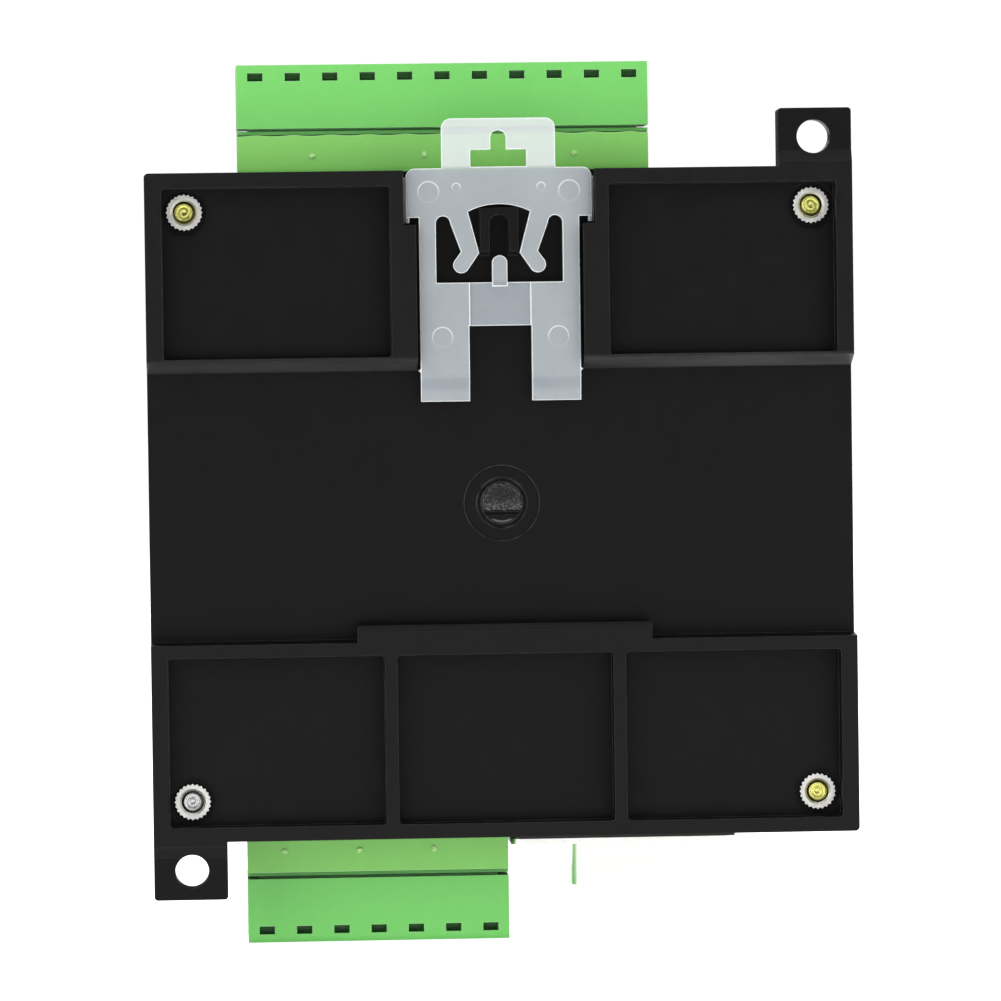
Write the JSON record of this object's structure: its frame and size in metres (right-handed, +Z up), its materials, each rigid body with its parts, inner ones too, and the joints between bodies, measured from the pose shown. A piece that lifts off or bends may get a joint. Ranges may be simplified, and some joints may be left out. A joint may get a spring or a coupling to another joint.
{
  "type": "stepper driver module",
  "caption": "Rail-mount stepper driver module: black case with a sliding rail clip, green pluggable terminals above and below, corner ears and a serial socket.",
  "frame": {"origin": "middle of the rail seat, on the floor of the rail channel", "axes": "+Z up as mounted, +X along the rail, +Y out of the back, front faces -Y"},
  "size_m": [0.095, 0.0405, 0.1192],
  "materials": {
    "case_black": "fine spark texture",
    "label_grey": "satin film",
    "clip_nylon": "translucent natural nylon",
    "plug_green": "satin moulding",
    "header_green": "satin moulding",
    "insert_metal": "plated, knurled",
    "zinc_yellow": "yellow zinc plating",
    "screw_steel": "clear zinc plating",
    "tinned_metal": "tin plating",
    "spacer_brass": "turned",
    "contact_gold": "flash gold plating",
    "bright_nickel": "bright nickel plating",
    "board_green": "solder mask",
    "part_black": "moulding",
    "coupler_white": "moulding",
    "capacitor_sleeve": "dark sleeve",
    "sink_metal": "black anodised",
    "ferrite": "sintered",
    "lamp_clear": "clear",
    "pipe_clear": "polished",
    "switch_red": "moulding",
    "slider_white": "moulding"
  },
  "bodies": {
    "case": {"rear_shell": "case_black", "corner_inserts": "insert_metal", "cover_screws": "zinc_yellow", "front_cover": "case_black", "front_label": "label_grey", "main_board": "board_green", "control_board": "board_green", "board_spacers": "spacer_brass", "spacer_screws": "screw_steel", "link_header": "part_black", "link_pins": "tinned_metal", "link_socket": "part_black", "top_header": "header_green", "top_header_pins": "tinned_metal", "bottom_header": "header_green", "bottom_header_pins": "tinned_metal", "serial_shell": "bright_nickel", "serial_insulator": "part_black", "serial_contacts": "contact_gold", "bulk_capacitors": "capacitor_sleeve", "heat_sink": "sink_metal", "power_transistors": "part_black", "power_inductor": "ferrite", "sense_resistors": "part_black", "opto_couplers": "coupler_white", "controller_chip": "part_black", "status_lamps": "lamp_clear", "light_pipes": "pipe_clear", "switch_body": "switch_red"},
    "clip": {"din_clip": "clip_nylon"},
    "top_plug": {"top_plug_housing": "plug_green", "top_plug_clamps": "screw_steel", "top_plug_contacts": "tinned_metal"},
    "bottom_plug": {"bottom_plug_housing": "plug_green", "bottom_plug_clamps": "screw_steel", "bottom_plug_contacts": "tinned_metal"},
    "top_screw_1": {"top_screw_1": "screw_steel"},
    "top_screw_2": {"top_screw_2": "screw_steel"},
    "top_screw_3": {"top_screw_3": "screw_steel"},
    "top_screw_4": {"top_screw_4": "screw_steel"},
    "top_screw_5": {"top_screw_5": "screw_steel"},
    "top_screw_6": {"top_screw_6": "screw_steel"},
    "top_screw_7": {"top_screw_7": "screw_steel"},
    "top_screw_8": {"top_screw_8": "screw_steel"},
    "top_screw_9": {"top_screw_9": "screw_steel"},
    "top_screw_10": {"top_screw_10": "screw_steel"},
    "top_screw_11": {"top_screw_11": "screw_steel"},
    "bottom_screw_1": {"bottom_screw_1": "screw_steel"},
    "bottom_screw_2": {"bottom_screw_2": "screw_steel"},
    "bottom_screw_3": {"bottom_screw_3": "screw_steel"},
    "bottom_screw_4": {"bottom_screw_4": "screw_steel"},
    "bottom_screw_5": {"bottom_screw_5": "screw_steel"},
    "bottom_screw_6": {"bottom_screw_6": "screw_steel"},
    "bottom_screw_7": {"bottom_screw_7": "screw_steel"},
    "switch_slider_1": {"switch_slider_1": "slider_white"},
    "switch_slider_2": {"switch_slider_2": "slider_white"},
    "switch_slider_3": {"switch_slider_3": "slider_white"},
    "switch_slider_4": {"switch_slider_4": "slider_white"},
    "switch_slider_5": {"switch_slider_5": "slider_white"},
    "switch_slider_6": {"switch_slider_6": "slider_white"}
  },
  "joints": [
    {"name": "clip_slide", "type": "slide", "parent": "case", "child": "clip", "axis": [0, 0, 1], "range_m": [0, 0.004], "stiffness_N_per_m": 2000},
    {"name": "top_plug_slide", "type": "slide", "parent": "case", "child": "top_plug", "axis": [0, 0, 1], "range_m": [0, 0.012]},
    {"name": "bottom_plug_slide", "type": "slide", "parent": "case", "child": "bottom_plug", "axis": [0, 0, -1], "range_m": [0, 0.012]},
    {"name": "top_screw_1_turn", "type": "hinge", "parent": "top_plug", "child": "top_screw_1", "pos_m": [0.03236, -0.018, 0.0553], "axis": [0, -1, 0], "range_deg": [0, 1530]},
    {"name": "top_screw_2_turn", "type": "hinge", "parent": "top_plug", "child": "top_screw_2", "pos_m": [0.02728, -0.018, 0.0553], "axis": [0, -1, 0], "range_deg": [0, 1530]},
    {"name": "top_screw_3_turn", "type": "hinge", "parent": "top_plug", "child": "top_screw_3", "pos_m": [0.0222, -0.018, 0.0553], "axis": [0, -1, 0], "range_deg": [0, 1530]},
    {"name": "top_screw_4_turn", "type": "hinge", "parent": "top_plug", "child": "top_screw_4", "pos_m": [0.01712, -0.018, 0.0553], "axis": [0, -1, 0], "range_deg": [0, 1530]},
    {"name": "top_screw_5_turn", "type": "hinge", "parent": "top_plug", "child": "top_screw_5", "pos_m": [0.01204, -0.018, 0.0553], "axis": [0, -1, 0], "range_deg": [0, 1530]},
    {"name": "top_screw_6_turn", "type": "hinge", "parent": "top_plug", "child": "top_screw_6", "pos_m": [0.00696, -0.018, 0.0553], "axis": [0, -1, 0], "range_deg": [0, 1530]},
    {"name": "top_screw_7_turn", "type": "hinge", "parent": "top_plug", "child": "top_screw_7", "pos_m": [0.00188, -0.018, 0.0553], "axis": [0, -1, 0], "range_deg": [0, 1530]},
    {"name": "top_screw_8_turn", "type": "hinge", "parent": "top_plug", "child": "top_screw_8", "pos_m": [-0.0032, -0.018, 0.0553], "axis": [0, -1, 0], "range_deg": [0, 1530]},
    {"name": "top_screw_9_turn", "type": "hinge", "parent": "top_plug", "child": "top_screw_9", "pos_m": [-0.00828, -0.018, 0.0553], "axis": [0, -1, 0], "range_deg": [0, 1530]},
    {"name": "top_screw_10_turn", "type": "hinge", "parent": "top_plug", "child": "top_screw_10", "pos_m": [-0.01336, -0.018, 0.0553], "axis": [0, -1, 0], "range_deg": [0, 1530]},
    {"name": "top_screw_11_turn", "type": "hinge", "parent": "top_plug", "child": "top_screw_11", "pos_m": [-0.01844, -0.018, 0.0553], "axis": [0, -1, 0], "range_deg": [0, 1530]},
    {"name": "bottom_screw_1_turn", "type": "hinge", "parent": "bottom_plug", "child": "bottom_screw_1", "pos_m": [0.03236, -0.018, -0.0553], "axis": [0, -1, 0], "range_deg": [0, 1530]},
    {"name": "bottom_screw_2_turn", "type": "hinge", "parent": "bottom_plug", "child": "bottom_screw_2", "pos_m": [0.02728, -0.018, -0.0553], "axis": [0, -1, 0], "range_deg": [0, 1530]},
    {"name": "bottom_screw_3_turn", "type": "hinge", "parent": "bottom_plug", "child": "bottom_screw_3", "pos_m": [0.0222, -0.018, -0.0553], "axis": [0, -1, 0], "range_deg": [0, 1530]},
    {"name": "bottom_screw_4_turn", "type": "hinge", "parent": "bottom_plug", "child": "bottom_screw_4", "pos_m": [0.01712, -0.018, -0.0553], "axis": [0, -1, 0], "range_deg": [0, 1530]},
    {"name": "bottom_screw_5_turn", "type": "hinge", "parent": "bottom_plug", "child": "bottom_screw_5", "pos_m": [0.01204, -0.018, -0.0553], "axis": [0, -1, 0], "range_deg": [0, 1530]},
    {"name": "bottom_screw_6_turn", "type": "hinge", "parent": "bottom_plug", "child": "bottom_screw_6", "pos_m": [0.00696, -0.018, -0.0553], "axis": [0, -1, 0], "range_deg": [0, 1530]},
    {"name": "bottom_screw_7_turn", "type": "hinge", "parent": "bottom_plug", "child": "bottom_screw_7", "pos_m": [0.00188, -0.018, -0.0553], "axis": [0, -1, 0], "range_deg": [0, 1530]},
    {"name": "switch_slider_1_slide", "type": "slide", "parent": "case", "child": "switch_slider_1", "axis": [0, 0, 1], "range_m": [0, 0.0015]},
    {"name": "switch_slider_2_slide", "type": "slide", "parent": "case", "child": "switch_slider_2", "axis": [0, 0, 1], "range_m": [0, 0.0015]},
    {"name": "switch_slider_3_slide", "type": "slide", "parent": "case", "child": "switch_slider_3", "axis": [0, 0, 1], "range_m": [0, 0.0015]},
    {"name": "switch_slider_4_slide", "type": "slide", "parent": "case", "child": "switch_slider_4", "axis": [0, 0, 1], "range_m": [0, 0.0015]},
    {"name": "switch_slider_5_slide", "type": "slide", "parent": "case", "child": "switch_slider_5", "axis": [0, 0, 1], "range_m": [0, 0.0015]},
    {"name": "switch_slider_6_slide", "type": "slide", "parent": "case", "child": "switch_slider_6", "axis": [0, 0, 1], "range_m": [0, 0.0015]}
  ]
}
